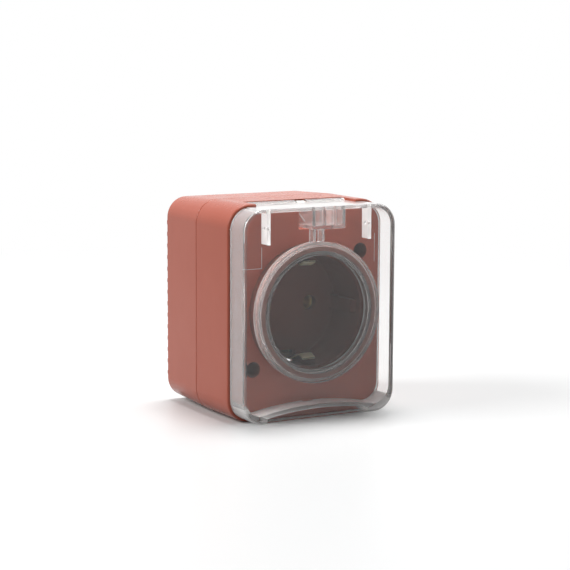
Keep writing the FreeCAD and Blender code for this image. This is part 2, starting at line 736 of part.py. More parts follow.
def make_earth_strip():
    """The bent strip behind the well, with a sprung clip at each end and a tab for its terminal."""
    body = new_body("earth_strip")
    thick = "strip_thickness"
    bend = "rim - clip_bend_drop"
    touch = "rim - clip_contact_drop"
    tip = "rim - clip_contact_drop + 2 * clip_tip_rise"
    half = [
        ("strip_back", "clip_leg_z + " + thick), (bend, "clip_leg_z + " + thick),
        (touch, "clip_contact_z + " + thick), (tip, "clip_contact_z + clip_tip_rise + " + thick),
        (tip, "clip_contact_z + clip_tip_rise"), (touch, "clip_contact_z"), (bend, "clip_leg_z"),
        ("strip_front", "clip_leg_z")]
    upper = [Corner(f"-({out})", up) for out, up in half]
    lower = [Corner(f"-({out})", f"-({up})") for out, up in reversed(half)]
    corners = upper + lower
    sketch = new_sketch(body, "profile", "side", "0", lambda s: outline(s, list(reversed(corners))))
    feature = body.newObject("PartDesign::Pad", "earth_strip_band")
    feature.Profile = sketch
    feature.setExpression("Length", bound("clip_width"))
    feature.Midplane = True
    document.recompute()
    level = value("strip_thickness")
    width = value("clip_width") - EDGE_TOLERANCE

    def is_bend(edge):
        box = edge.BoundBox
        middle = (box.ZMin + box.ZMax) / 2
        return box.XLength > width and abs(middle) > level and -box.YMin > value("strip_front")

    soften(body, "bends", "Fillet", "strip_thickness / 3", is_bend)
    pad(body, "tab", "front", "strip_back", thick,
        lambda s: rectangle(s, "-terminal_width / 3", "terminal_width / 3", "clip_leg_z",
                            "terminal_z + terminal_height / 2"))
    cut(body, "tab_hole", "front", "strip_back", thick,
        lambda s: disc(s, "0", "terminal_z", "terminal_shank + fit_gap"))
    return body


def make_terminal(label, across, station):
    """A clamp block with a hole for the wire and a threaded one for its screw."""
    body = new_body(label)
    pad(body, "block", "front", "0", "terminal_depth",
        lambda s: rectangle(s, "-terminal_width / 2", "terminal_width / 2", "-terminal_height / 2",
                            "terminal_height / 2"))
    cut(body, "wire_hole", "level", "-terminal_height / 2", "terminal_height",
        lambda s: disc(s, "0", "-terminal_depth / 2", "wire_radius"))
    cut(body, "screw_hole", "front", "terminal_depth / 2", "terminal_depth / 2",
        lambda s: disc(s, "0", "0", "terminal_shank + running_gap"))
    place(body, across, station, "terminal_z")
    return body


def make_screw(label, shank, head, grip, across, seat, up):
    """A pan-head screw with a cross drive: its head rests on the seat and its shank points to the wall."""
    body = new_body(label)
    turn(body, "blank", [
        Corner(f"({grip})", "0"), Corner("-head_height", "0"), Corner("-head_height", f"crown_share * {head}"),
        Corner("-head_height / 2", head), Corner("0", head), Corner("0", shank),
        Corner(f"({grip}) - {shank}", shank), Corner(f"({grip})", f"point_share * {shank}")][::-1])
    arm = f"drive_share * {head}"
    for name, wide, high in (("slot", arm, "drive_width / 2"), ("cross", "drive_width / 2", arm)):
        cut(body, name, "front", "head_height / 2", "head_height / 2",
            lambda s, w=wide, h=high: rectangle(s, f"-({w})", w, f"-({h})", h))
    place(body, across, seat, up)
    return body


def make_lid():
    """The clear lid: a shallow tray with an arched grip, the seal ribs, ears, spring box and hinge."""
    body = new_body("lid")
    pad(body, "tray", "front", "lid_back", "lid_depth",
        lambda s: rounded(s, "lid_width / 2", "lid_height / 2", "lid_corner"))
    front = value("lid_front")
    soften(body, "front_round", "Fillet", "lid_round", lambda e: at_station(e, front))
    cut(body, "hollow", "front", "lid_back", "plate_back - lid_back", lid_hollow)
    cut(body, "grip", "front", "lid_back", "plate_back - lid_back", grip_outline)

    def ribs(sketch):
        disc(sketch, "0", "0", "ring_outer")
        disc(sketch, "0", "0", "ring_outer - rib_outer_wall")

    def inner_rib(sketch):
        disc(sketch, "0", "0", "ring_inner + rib_inner_wall")
        disc(sketch, "0", "0", "ring_inner")

    pad(body, "outer_rib", "front", "plate_back", "rib_rise", ribs, backwards=True)
    pad(body, "inner_rib", "front", "plate_back", "rib_rise", inner_rib, backwards=True)

    def ears(sketch):
        for side in ("-", ""):
            near, far = f"{side}ear_x", f"{side}(ear_x + ear_thickness)"
            left, right = (far, near) if side else (near, far)
            rectangle(sketch, left, right, "flap_bottom - ear_height", "flap_bottom + fit_gap")

    pad(body, "ears", "front", "plate_back", "ear_depth", ears, backwards=True)
    dimple_z = "flap_bottom - ear_height / 2"
    past_ears = "(ear_x + ear_thickness + tool_overrun)"
    cut(body, "ear_dimples", "side", f"-{past_ears}", f"2 * {past_ears}",
        lambda s: disc(s, "-(plate_back - ear_depth / 2)", dimple_z, "ear_dimple_radius"))
    pad(body, "flap", "front", "axis_out", "lid_back - axis_out + fit_gap",
        lambda s: rectangle(s, "-flap_half", "flap_half", "flap_bottom", "lid_top"))
    pad(body, "barrel", "side", "-flap_half", "2 * flap_half",
        lambda s: disc(s, "-axis_out", "axis_z", "barrel_radius"))
    make_spring_box(body)
    rail_top = "box_bottom + fit_gap"

    def rails(sketch):
        for left in ("-rail_left", "rail_right - rail_width"):
            rectangle(sketch, left, f"{left} + rail_width", "ring_outer - 2 * fit_gap", rail_top)

    pad(body, "rails", "front", "plate_back", "rail_depth", rails, backwards=True)
    cut(body, "spring_bay", "side", "bay_left", "spring_bay", bay_outline)
    cut(body, "pin_bore", "side", "-(flap_half + tool_overrun)", "2 * (flap_half + tool_overrun)",
        lambda s: disc(s, "-axis_out", "axis_z", "pin_radius + running_gap"))
    cut(body, "catch_notch", "front", "lid_back", "catch_rise + 4 * fit_gap",
        lambda s: rectangle(s, "-(catch_width / 2 + 4 * fit_gap)", "catch_width / 2 + 4 * fit_gap",
                            "lid_bottom + arch_middle - 2 * lid_wall",
                            "lid_bottom + arch_middle + lid_wall"))
    return body


def make_spring_box(body):
    """The open-backed box under the flap, with the two bars behind its window."""
    depth = "plate_back - box_back"

    def walls(sketch):
        left, right = "-box_left", "box_right"
        top = "flap_bottom + fit_gap"
        outline(sketch, [
            Corner(left, "box_bottom"), Corner(right, "box_bottom"), Corner(right, top),
            Corner(f"{right} - box_wall", top), Corner(f"{right} - box_wall", "box_bottom + box_wall"),
            Corner(f"{left} + box_wall", "box_bottom + box_wall"), Corner(f"{left} + box_wall", top),
            Corner(left, top)])

    pad(body, "box_walls", "front", "plate_back", depth, walls, backwards=True)

    def bars(sketch):
        for share in (1, 2):
            centre = f"(-box_left + {share} * (box_left + box_right) / 3 + bar_shift)"
            rectangle(sketch, f"{centre} - bar_width / 2", f"{centre} + bar_width / 2",
                      "box_bottom + box_wall - fit_gap", "flap_bottom + fit_gap")

    pad(body, "box_bars", "front", "plate_back", "bar_depth", bars, backwards=True)


def lid_hollow(sketch):
    """The inside of the tray: straight sides, round corners and a bottom that rises to the middle."""
    half = "(lid_width / 2 - lid_wall)"
    corner = "(lid_corner - lid_wall)"
    low = "(lid_bottom + arch_side)"
    top = "(lid_top - lid_wall)"
    outline(sketch, [
        Corner(f"-{half} + {corner}", low, "arch_radius", True),
        Corner(f"{half} - {corner}", low, corner), Corner(half, f"{low} + {corner}"),
        Corner(half, f"{top} - {corner}", corner), Corner(f"{half} - {corner}", top),
        Corner(f"-{half} + {corner}", top, corner), Corner(f"-{half}", f"{top} - {corner}"),
        Corner(f"-{half}", f"{low} + {corner}", corner)])


def grip_outline(sketch):
    """The finger space below the arched bottom wall, one wall thickness under the hollow."""
    bend = "(arch_radius - lid_wall)"
    top = "(lid_bottom + arch_middle - lid_wall)"
    drop = f"({bend} - sqrt({bend} ^ 2 - grip_half ^ 2))"
    outline(sketch, [
        Corner("-grip_half", "lid_bottom - tool_overrun"), Corner("grip_half", "lid_bottom - tool_overrun"),
        Corner("grip_half", f"{top} - {drop}", bend), Corner("-grip_half", f"{top} - {drop}")])


def bay_outline(sketch):
    """The gap in the barrel that holds the spring, open to the rear and below."""
    front = "axis_out + barrel_radius + fit_gap"
    back = "axis_out - 2 * barrel_radius"
    rectangle(sketch, f"-({front})", f"-({back})", "axis_z - 2 * barrel_radius",
              "axis_z + 2 * barrel_radius")


def make_lid_seal():
    """The soft ring between the two ribs of the lid."""
    body = new_body("lid_seal")

    def ring(sketch):
        disc(sketch, "0", "0", "ring_outer - rib_outer_wall - fit_gap / 2")
        disc(sketch, "0", "0", "ring_inner + rib_inner_wall + fit_gap / 2")

    pad(body, "ring", "front", "rim + ring_stand_off", "plate_back - rim - ring_stand_off", ring)
    return body


def make_hinge_pin():
    """The steel pin on which the lid swings."""
    pin = document.addObject("Part::Cylinder", "hinge_pin")
    pin.Label = "hinge_pin"
    pin.setExpression("Radius", bound("pin_radius"))
    pin.setExpression("Height", bound("pin_length"))
    place(pin, "-pin_length / 2", "axis_out", "axis_z", Rotation(Vector(0, 1, 0), 90))
    return pin


def make_lid_spring():
    """The torsion spring round the pin: its front leg presses on the box and its tail on the bed."""
    radius, wire = value("coil_radius"), value("spring_wire / 2")
    lean = math.radians(value("spring_lean"))
    turns = value("spring_coils - spring_lean / 360")
    pitch = value("spring_wire + fit_gap / 2")
    length = turns * pitch
    helix = Part.makeHelix(pitch, length, radius)
    helix.rotate(Vector(0, 0, 0), Vector(0, 0, 1), math.degrees(lean))
    start = Vector(radius * math.cos(lean), radius * math.sin(lean), 0)
    along = Vector(-math.sin(lean), math.cos(lean), 0)
    foot = start - along * value("spring_leg")
    end = Vector(radius, 0, length)
    leg = Part.LineSegment(foot, start).toShape()
    tail = Part.LineSegment(end, end + Vector(0, value("spring_tail"), 0)).toShape()
    path = Part.Wire([leg, *helix.Edges, tail])
    section = Part.Wire([Part.Circle(foot, along, wire).toShape()])
    spring = document.addObject("Part::Feature", "lid_spring")
    spring.Label = "lid_spring"
    spring.Shape = path.makePipeShell([section], True, True)
    middle = Vector(value("spring_x") - length / 2, -value("axis_out"), value("axis_z"))
    spring.Placement = Placement(middle, Rotation(Vector(0, 1, 0), 90))
    return spring


def make_cable_grommet():
    """The rubber ring in the bottom cable entry, with its lip inside the housing."""
    body = new_body("cable_grommet")
    bottom = "entry_outside + 3 * fit_gap"
    pad(body, "sleeve", "level", bottom, f"entry_inside + grommet_lip_depth - ({bottom})",
        lambda s: disc(s, "0", "-entry_out", "entry_radius - fit_gap / 2"))
    pad(body, "lip", "level", "entry_inside", "grommet_lip_depth",
        lambda s: disc(s, "0", "-entry_out", "entry_radius + grommet_lip"))
    cut(body, "bore", "level", bottom, f"entry_inside + 2 * grommet_lip_depth - ({bottom})",
        lambda s: disc(s, "0", "-entry_out", "cable_radius"))
    return body


def make_parts():
    """Builds every sub-part in the order of assembly, from the wall outwards."""
    live_block, earth_block = "sleeve_back", "strip_back - terminal_depth"
    block_grip = "terminal_depth / 2 - fit_gap"
    parts = [
        make_rear_housing(), make_cable_grommet(), make_housing_seal(), make_contact_carrier(),
        make_contact("neutral_contact", "-"), make_contact("live_contact", ""), make_earth_strip(),
        make_terminal("neutral_terminal", "-pin_pitch / 2", live_block),
        make_terminal("live_terminal", "pin_pitch / 2", live_block),
        make_terminal("earth_terminal", "0", earth_block),
    ]
    for name, across, seat, grip in (
            ("neutral", "-pin_pitch / 2", "sleeve_back + terminal_depth", block_grip),
            ("live", "pin_pitch / 2", "sleeve_back + terminal_depth", block_grip),
            ("earth", "0", "strip_front", f"{block_grip} + strip_thickness")):
        parts.append(make_screw(f"{name}_terminal_screw", "terminal_shank", "terminal_head", grip,
                                across, seat, "terminal_z"))
    for side, across in (("left", "-carrier_screw_x"), ("right", "carrier_screw_x")):
        parts.append(make_screw(f"carrier_screw_{side}", "small_shank", "small_head",
                                "carrier_rear + carrier_screw_seat - back_wall",
                                across, "carrier_rear + carrier_screw_seat", "-carrier_screw_z"))
    parts += [make_well_insert(), make_front_housing()]
    for side, sign in (("upper", ""), ("lower", "-")):
        parts.append(make_screw(f"cover_screw_{side}", "cover_shank", "cover_head",
                                "cover_screw_grip + screw_seat - 5 * fit_gap",
                                f"{sign}cover_screw_x", "cover_seat", f"{sign}cover_screw_z"))
    parts += [make_lid(), make_lid_seal(), make_hinge_pin(), make_lid_spring()]
    return parts


def check_model(parts):
    """Stops if any object failed, or if any sub-part is not one sound solid."""
    document.recompute()
    for item in document.Objects:
        if "Invalid" in item.State or "Error" in item.State:
            raise RuntimeError(f"{item.Name} failed: {item.State}")
    for part in parts:
        if part.Shape.isNull() or not part.Shape.isValid() or len(part.Shape.Solids) != 1:
            raise RuntimeError(f"{part.Label} is not one sound solid")


def export(parts):
    """Writes each sub-part to its own file, named by its label."""
    os.makedirs("parts", exist_ok=True)
    for part in parts:
        part.Shape.exportStep(f"parts/{part.Label}.step")
        print(f"{part.Label}: {part.Shape.Volume:.1f} mm3")


fill_sheet()
model = make_parts()
check_model(model)
export(model)
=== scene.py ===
"""Studio picture of a surface-mounted outdoor socket with a clear, spring-closed lid.

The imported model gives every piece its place, in metres: X to the right, Z up, and the front
looks along -Y. The wall plane is y = 0. This script gives the pieces their finishes, softens
their moulded edges, and sets up the table, the lamps and the camera.
"""
from __future__ import annotations

import logging
import math
from collections.abc import Callable
from dataclasses import dataclass, field, replace
from enum import Enum

import bmesh
import bpy
from mathutils import Matrix, Vector


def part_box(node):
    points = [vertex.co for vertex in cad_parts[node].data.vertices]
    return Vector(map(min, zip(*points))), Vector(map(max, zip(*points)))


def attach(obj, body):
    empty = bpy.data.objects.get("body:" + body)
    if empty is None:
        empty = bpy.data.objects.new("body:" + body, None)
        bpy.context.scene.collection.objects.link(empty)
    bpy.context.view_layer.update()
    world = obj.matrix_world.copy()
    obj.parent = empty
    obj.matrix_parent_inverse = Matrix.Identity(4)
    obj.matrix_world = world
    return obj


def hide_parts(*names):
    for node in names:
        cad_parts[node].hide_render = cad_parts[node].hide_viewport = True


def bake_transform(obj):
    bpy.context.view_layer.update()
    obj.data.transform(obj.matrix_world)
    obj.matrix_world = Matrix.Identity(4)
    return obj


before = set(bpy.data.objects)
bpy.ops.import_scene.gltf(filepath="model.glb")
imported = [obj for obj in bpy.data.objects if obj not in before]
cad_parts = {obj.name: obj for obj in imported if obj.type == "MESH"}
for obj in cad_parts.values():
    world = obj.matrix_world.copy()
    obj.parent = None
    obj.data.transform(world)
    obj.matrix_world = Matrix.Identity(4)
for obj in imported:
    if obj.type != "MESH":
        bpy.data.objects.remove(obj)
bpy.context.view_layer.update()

LOG = logging.getLogger("outdoor_socket")
MILLIMETRE = 0.001
EDGE_MARK = "rounded_edge"
EDGE_ANGLE = math.radians(34)
EDGE_STEPS = 2
SMOOTH_ANGLE = math.radians(35)
FLAT_ANGLE = math.radians(0.4)
WELD_DISTANCE = 0.000002
FACING = 0.98
PHOTO_SIDE = 570

Colour = tuple[float, float, float]
Socket = bpy.types.NodeSocket
Tree = bpy.types.NodeTree


class BodyName(Enum):
    """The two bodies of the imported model."""

    HOUSING = "housing"
    LID = "lid"


class Slot(Enum):
    """The material slots of the record."""

    HOUSING = "housing_plastic"
    CLEAR = "clear_lid"
    SEAL = "seal_rubber"
    GROMMET = "grommet_rubber"
    CARRIER = "carrier_plastic"
    BRASS = "brass"
    PLATED = "plated_brass"
    STEEL = "steel"


def from_srgb(red: int, green: int, blue: int) -> Colour:
    """Turns a colour as a screen shows it into a linear one.

    Args:
        red: Red, from 0 to 255.
        green: Green, from 0 to 255.
        blue: Blue, from 0 to 255.

    Returns:
        The linear colour.
    """
    def linear(part: int) -> float:
        share = part / 255
        return share / 12.92 if share <= 0.04045 else ((share + 0.055) / 1.055) ** 2.4

    return linear(red), linear(green), linear(blue)


# Node helpers


def add_node(tree: Tree, kind: str, **settings: object) -> bpy.types.Node:
    """Adds a node and sets its properties.

    Args:
        tree: The tree that gets the node.
        kind: The node's type name.
        settings: Properties of the node, by name.

    Returns:
        The new node.
    """
    node = tree.nodes.new(kind)
    for name, setting in settings.items():
        setattr(node, name, setting)
    return node


def feed(tree: Tree, target: Socket, source: Socket | float | Colour) -> None:
    """Links a socket to an input, or sets the input's own value.

    Args:
        tree: The tree that holds both.
        target: The input.
        source: Another node's output, a number or a colour.
    """
    if isinstance(source, bpy.types.NodeSocket):
        tree.links.new(source, target)
    elif isinstance(source, tuple) and len(target.default_value) == 4:
        target.default_value = (*source, 1.0)
    else:
        target.default_value = source


def maths(tree: Tree, operation: str, first: Socket | float, second: Socket | float = 0.0,
          clamp: bool = False) -> Socket:
    """Adds one Math node.

    Args:
        tree: The tree that gets the node.
        operation: The name of the operation, such as MULTIPLY.
        first: The first input.
        second: The second input.
        clamp: True to keep the result between 0 and 1.

    Returns:
        The node's output.
    """
    node = add_node(tree, "ShaderNodeMath", operation=operation, use_clamp=clamp)
    feed(tree, node.inputs[0], first)
    feed(tree, node.inputs[1], second)
    return node.outputs[0]


def blend_colours(tree: Tree, share: Socket | float, first: Socket | Colour,
                  second: Socket | Colour) -> Socket:
    """Mixes two colours.

    Args:
        tree: The tree that gets the node.
        share: How much of the second colour shows.
        first: The first colour.
        second: The second colour.

    Returns:
        The mixed colour.
    """
    node = add_node(tree, "ShaderNodeMix", data_type="RGBA")
    feed(tree, node.inputs[0], share)
    feed(tree, node.inputs[6], first)
    feed(tree, node.inputs[7], second)
    return node.outputs[2]


def spread(tree: Tree, source: Socket, low: float, high: float, to_low: float = 0.0,
           to_high: float = 1.0) -> Socket:
    """Stretches a range of values to another one, clamped.

    Args:
        tree: The tree that gets the node.
        source: The value to stretch.
        low: The input that gives to_low.
        high: The input that gives to_high.
        to_low: The lowest result.
        to_high: The highest result.

    Returns:
        The stretched value.
    """
    node = add_node(tree, "ShaderNodeMapRange", interpolation_type="SMOOTHSTEP")
    for name, number in (("From Min", low), ("From Max", high), ("To Min", to_low), ("To Max", to_high)):
        node.inputs[name].default_value = number
    feed(tree, node.inputs["Value"], source)
    return node.outputs["Result"]


def noise(tree: Tree, place: Socket, scale: Socket | float, detail: float) -> Socket:
    """Adds a noise texture.

    Args:
        tree: The tree that gets the node.
        place: The coordinates that it reads.
        scale: Its scale, in lumps per metre.
        detail: How many finer layers it has.

    Returns:
        The noise value.
    """
    node = add_node(tree, "ShaderNodeTexNoise")
    node.inputs["Detail"].default_value = detail
    feed(tree, node.inputs["Vector"], place)
    feed(tree, node.inputs["Scale"], scale)
    return node.outputs["Fac"]


# Shader groups that several finishes share


@dataclass(frozen=True)
class EffectGroup:
    """A shader effect with named inputs and outputs, built once and used by several finishes."""

    name: str
    inputs: tuple[tuple[str, float], ...]
    outputs: tuple[str, ...]
    wire: Callable[[Tree, bpy.types.Node, bpy.types.Node], None]

    def tree(self) -> Tree:
        """Gives the group's tree, and makes it the first time."""
        made = bpy.data.node_groups.get(self.name)
        if made:
            return made
        tree = bpy.data.node_groups.new(self.name, "ShaderNodeTree")
        for label, default in self.inputs:
            socket = tree.interface.new_socket(label, in_out="INPUT", socket_type="NodeSocketFloat")
            socket.default_value = default
        for label in self.outputs:
            tree.interface.new_socket(label, in_out="OUTPUT", socket_type="NodeSocketFloat")
        way_in = tree.nodes.new("NodeGroupInput")
        way_out = tree.nodes.new("NodeGroupOutput")
        self.wire(tree, way_in, way_out)
        return tree

    def place(self, tree: Tree, **values: float) -> bpy.types.Node:
        """Places the effect in a material.

        Args:
            tree: The material's tree.
            values: Values of the group's inputs, by name.

        Returns:
            The group node.
        """
        node = tree.nodes.new("ShaderNodeGroup")
        node.node_tree = self.tree()
        for label, number in values.items():
            node.inputs[label].default_value = number
        return node


def wire_grain(tree: Tree, way_in: bpy.types.Node, way_out: bpy.types.Node) -> None:
    """Wires the spark-eroded grain of a mould: fine bumps, with a coarser unevenness below them."""
    place = add_node(tree, "ShaderNodeTexCoord").outputs["Object"]
    fine = noise(tree, place, way_in.outputs["Scale"], 2.0)
    coarse = noise(tree, place, maths(tree, "MULTIPLY", way_in.outputs["Scale"], 0.23), 3.0)
    height = maths(tree, "ADD", fine, maths(tree, "MULTIPLY", coarse, way_in.outputs["Unevenness"]))
    feed(tree, way_out.inputs["Height"], height)
    feed(tree, way_out.inputs["Speckle"], spread(tree, fine, 0.35, 0.65))


def wire_flow(tree: Tree, way_in: bpy.types.Node, way_out: bpy.types.Node) -> None:
    """Wires the broad cloudiness of moulded plastic and the slight streaks along its flow."""
    place = add_node(tree, "ShaderNodeTexCoord").outputs["Object"]
    stretch = add_node(tree, "ShaderNodeMapping")
    stretch.inputs["Scale"].default_value = (1.0, 1.6, 1.0)
    feed(tree, stretch.inputs["Vector"], place)
    cloud = noise(tree, place, way_in.outputs["Scale"], 2.0)
    finer = maths(tree, "MULTIPLY", way_in.outputs["Scale"], 2.7)
    streak = noise(tree, stretch.outputs["Vector"], finer, 4.0)
    both = maths(tree, "MULTIPLY", maths(tree, "ADD", cloud, streak), 0.5)
    feed(tree, way_out.inputs["Cloud"], spread(tree, both, 0.38, 0.62))


def wire_edges(tree: Tree, way_in: bpy.types.Node, way_out: bpy.types.Node) -> None:
    """Wires the paler rubbed line along rounded edges, broken up by noise."""
    mark = add_node(tree, "ShaderNodeAttribute", attribute_name=EDGE_MARK)
    place = add_node(tree, "ShaderNodeTexCoord").outputs["Object"]
    ridge = spread(tree, mark.outputs["Fac"], 0.1, 0.9)
    broken = spread(tree, noise(tree, place, way_in.outputs["Scale"], 4.0), 0.3, 0.7, 0.45, 1.0)
    feed(tree, way_out.inputs["Edge"], maths(tree, "MULTIPLY", ridge, broken, clamp=True))


def wire_dust(tree: Tree, way_in: bpy.types.Node, way_out: bpy.types.Node) -> None:
    """Wires a thin film of dust on faces that look up."""
    geometry = add_node(tree, "ShaderNodeNewGeometry")
    place = add_node(tree, "ShaderNodeTexCoord").outputs["Object"]
    parts = add_node(tree, "ShaderNodeSeparateXYZ")
    feed(tree, parts.inputs[0], geometry.outputs["Normal"])
    upward = spread(tree, parts.outputs["Z"], 0.55, 0.95)
    patchy = spread(tree, noise(tree, place, way_in.outputs["Scale"], 5.0), 0.35, 0.7)
    feed(tree, way_out.inputs["Dust"], maths(tree, "MULTIPLY", upward, patchy, clamp=True))


def wire_brush(tree: Tree, way_in: bpy.types.Node, way_out: bpy.types.Node) -> None:
    """Wires the drawn or rolled lines of sheet metal, along the depth of the socket."""
    place = add_node(tree, "ShaderNodeTexCoord").outputs["Object"]
    stretch = add_node(tree, "ShaderNodeMapping")
    stretch.inputs["Scale"].default_value = (1.0, 0.06, 1.0)
    feed(tree, stretch.inputs["Vector"], place)
    lines = noise(tree, stretch.outputs["Vector"], way_in.outputs["Scale"], 3.0)
    stain = noise(tree, place, maths(tree, "MULTIPLY", way_in.outputs["Scale"], 0.05), 4.0)
    feed(tree, way_out.inputs["Height"], lines)
    feed(tree, way_out.inputs["Tarnish"], spread(tree, stain, 0.42, 0.68))


GRAIN = EffectGroup("Moulded grain", (("Scale", 2600.0), ("Unevenness", 0.6)), ("Height", "Speckle"),
                    wire_grain)
FLOW = EffectGroup("Flow clouds", (("Scale", 40.0),), ("Cloud",), wire_flow)
EDGES = EffectGroup("Rubbed edges", (("Scale", 300.0),), ("Edge",), wire_edges)
DUST = EffectGroup("Dust film", (("Scale", 220.0),), ("Dust",), wire_dust)
BRUSH = EffectGroup("Drawn metal", (("Scale", 4200.0),), ("Height", "Tarnish"), wire_brush)


# Finishes


def new_material(name: str) -> tuple[bpy.types.Material, Tree, bpy.types.Node]:
    """Starts a material with one Principled shader.

    Args:
        name: The material's name.

    Returns:
        The material, its tree and the shader.
    """
    material = bpy.data.materials.new(name)
    material.use_nodes = True
    tree = material.node_tree
    tree.nodes.clear()
    output = tree.nodes.new("ShaderNodeOutputMaterial")
    shader = tree.nodes.new("ShaderNodeBsdfPrincipled")
    tree.links.new(shader.outputs["BSDF"], output.inputs["Surface"])
    return material, tree, shader


def mix_surface(tree: Tree, share: Socket, first: Socket, second: Socket) -> None:
    """Puts a mix of two shaders on a material's output.

    Args:
        tree: The material's tree.
        share: How much of the second shader shows.
        first: The first shader.
        second: The second shader.
    """
    mix = tree.nodes.new("ShaderNodeMixShader")
    output = next(node for node in tree.nodes if node.type == "OUTPUT_MATERIAL")
    feed(tree, mix.inputs[0], share)
    tree.links.new(first, mix.inputs[1])
    tree.links.new(second, mix.inputs[2])
    tree.links.new(mix.outputs["Shader"], output.inputs["Surface"])


def bump(tree: Tree, shader: bpy.types.Node, height: Socket, strength: float, distance: float) -> None:
    """Feeds a height to a shader's normal through a Bump node.

    Args:
        tree: The material's tree.
        shader: The shader.
        height: The height.
        strength: How much of the bump shows.
        distance: How tall the height is, in metres.
    """
    node = tree.nodes.new("ShaderNodeBump")
    node.inputs["Strength"].default_value = strength
    node.inputs["Distance"].default_value = distance
    feed(tree, node.inputs["Height"], height)
    feed(tree, shader.inputs["Normal"], node.outputs["Normal"])


@dataclass(frozen=True)
class MouldedPlastic:
    """Opaque thermoplastic with a fine moulded grain."""

    name: str
    colour: Colour
    deep_colour: Colour
    rub_colour: Colour
    roughness: float = 0.22
    grain_depth: float = 0.000015
    edge_share: float = 0.35
    dust_share: float = 0.06
    specular: float = 0.22

    def build(self) -> bpy.types.Material:
        """Makes the material."""
        material, tree, shader = new_material(self.name)
        grain = GRAIN.place(tree)
        cloud = FLOW.place(tree).outputs["Cloud"]
        edge = EDGES.place(tree).outputs["Edge"]
        dust = DUST.place(tree).outputs["Dust"]
        colour = blend_colours(tree, maths(tree, "MULTIPLY", cloud, 0.3), self.colour, self.deep_colour)
        colour = blend_colours(tree, maths(tree, "MULTIPLY", grain.outputs["Speckle"], 0.12),
                               colour, self.deep_colour)
        colour = blend_colours(tree, maths(tree, "MULTIPLY", edge, self.edge_share), colour, self.rub_colour)
        colour = blend_colours(tree, maths(tree, "MULTIPLY", dust, self.dust_share), colour, DUST_COLOUR)
        feed(tree, shader.inputs["Base Color"], colour)
        rough = spread(tree, cloud, 0.0, 1.0, self.roughness - 0.01, self.roughness + 0.015)
        rough = maths(tree, "ADD", rough, maths(tree, "MULTIPLY", dust, 0.1))
        feed(tree, shader.inputs["Roughness"], rough)
        shader.inputs["Specular IOR Level"].default_value = self.specular
        bump(tree, shader, grain.outputs["Height"], 0.6, self.grain_depth)
        return material


@dataclass(frozen=True)
class ClearPlastic:
    """Clear glossy plastic, which may be lightly frosted."""

    name: str
    colour: Colour
    roughness: float = 0.02
    clearness: float = 1.0
    ior: float = 1.42
    shadow_share: float = 0.8
    mirror: float = 0.0
    specular: float = 0.24

    def build(self) -> bpy.types.Material:
        """Makes the material. Shadow rays pass straight through, so the inside stays lit."""
        material, tree, shader = new_material(self.name)
        cloud = FLOW.place(tree, Scale=60.0).outputs["Cloud"]
        feed(tree, shader.inputs["Roughness"],
             spread(tree, cloud, 0.0, 1.0, self.roughness * 0.8, self.roughness * 1.2))
        feed(tree, shader.inputs["Base Color"], blend_colours(tree, maths(tree, "MULTIPLY", cloud, 0.5),
                                                              self.colour, CLEAR_EDGE_COLOUR))
        shader.inputs["IOR"].default_value = self.ior
        shader.inputs["Transmission Weight"].default_value = self.clearness
        shader.inputs["Metallic"].default_value = self.mirror
        shader.inputs["Specular IOR Level"].default_value = self.specular
        ways = tree.nodes.new("ShaderNodeLightPath")
        through = tree.nodes.new("ShaderNodeBsdfTransparent")
        through.inputs["Color"].default_value = (self.shadow_share,) * 3 + (1.0,)
        mix_surface(tree, ways.outputs["Is Shadow Ray"], shader.outputs["BSDF"], through.outputs["BSDF"])
        return material


@dataclass(frozen=True)
class Rubber:
    """Soft matt rubber with a faint bloom."""

    name: str
    colour: Colour
    bloom_colour: Colour
    roughness: float = 0.62

    def build(self) -> bpy.types.Material:
        """Makes the material."""
        material, tree, shader = new_material(self.name)
        grain = GRAIN.place(tree, Scale=1800.0, Unevenness=1.0)
        cloud = FLOW.place(tree, Scale=120.0).outputs["Cloud"]
        edge = EDGES.place(tree).outputs["Edge"]
        colour = blend_colours(tree, maths(tree, "MULTIPLY", cloud, 0.6), self.colour, self.bloom_colour)
        colour = blend_colours(tree, maths(tree, "MULTIPLY", edge, 0.3), colour, self.bloom_colour)
        feed(tree, shader.inputs["Base Color"], colour)
        feed(tree, shader.inputs["Roughness"],
             spread(tree, cloud, 0.0, 1.0, self.roughness, self.roughness + 0.12))
        bump(tree, shader, grain.outputs["Height"], 0.5, 0.00003)
        return material


@dataclass(frozen=True)
class Metal:
    """Sheet or turned metal with drawn lines and a little tarnish."""

    name: str
    colour: Colour
    tarnish_colour: Colour
    roughness: float = 0.3
    tarnish_share: float = 0.4
    bare_share: float = 1.0

    def build(self) -> bpy.types.Material:
        """Makes the material."""
        material, tree, shader = new_material(self.name)
        brush = BRUSH.place(tree)
        edge = EDGES.place(tree, Scale=900.0).outputs["Edge"]
        tarnish = maths(tree, "MULTIPLY", brush.outputs["Tarnish"], self.tarnish_share)
        colour = blend_colours(tree, tarnish, self.colour, self.tarnish_colour)
        colour = blend_colours(tree, maths(tree, "MULTIPLY", edge, 0.35), colour, self.colour)
        feed(tree, shader.inputs["Base Color"], colour)
        feed(tree, shader.inputs["Roughness"], spread(tree, brush.outputs["Tarnish"], 0.0, 1.0,
                                                      self.roughness, self.roughness + 0.18))
        shader.inputs["Metallic"].default_value = self.bare_share
        bump(tree, shader, brush.outputs["Height"], 0.35, 0.00002)
        return material


DUST_COLOUR = (0.62, 0.5, 0.46)
CLEAR_COLOUR = (0.995, 0.99, 0.988)
CLEAR_EDGE_COLOUR = (0.985, 0.978, 0.975)
# Milky white: partly the haze of the lid's walls, and, much stronger, the painted highlights on its top,
# rim, ears and edges.
HAZE_AND_PAINTED_WHITE = (0.93, 0.92, 0.915)
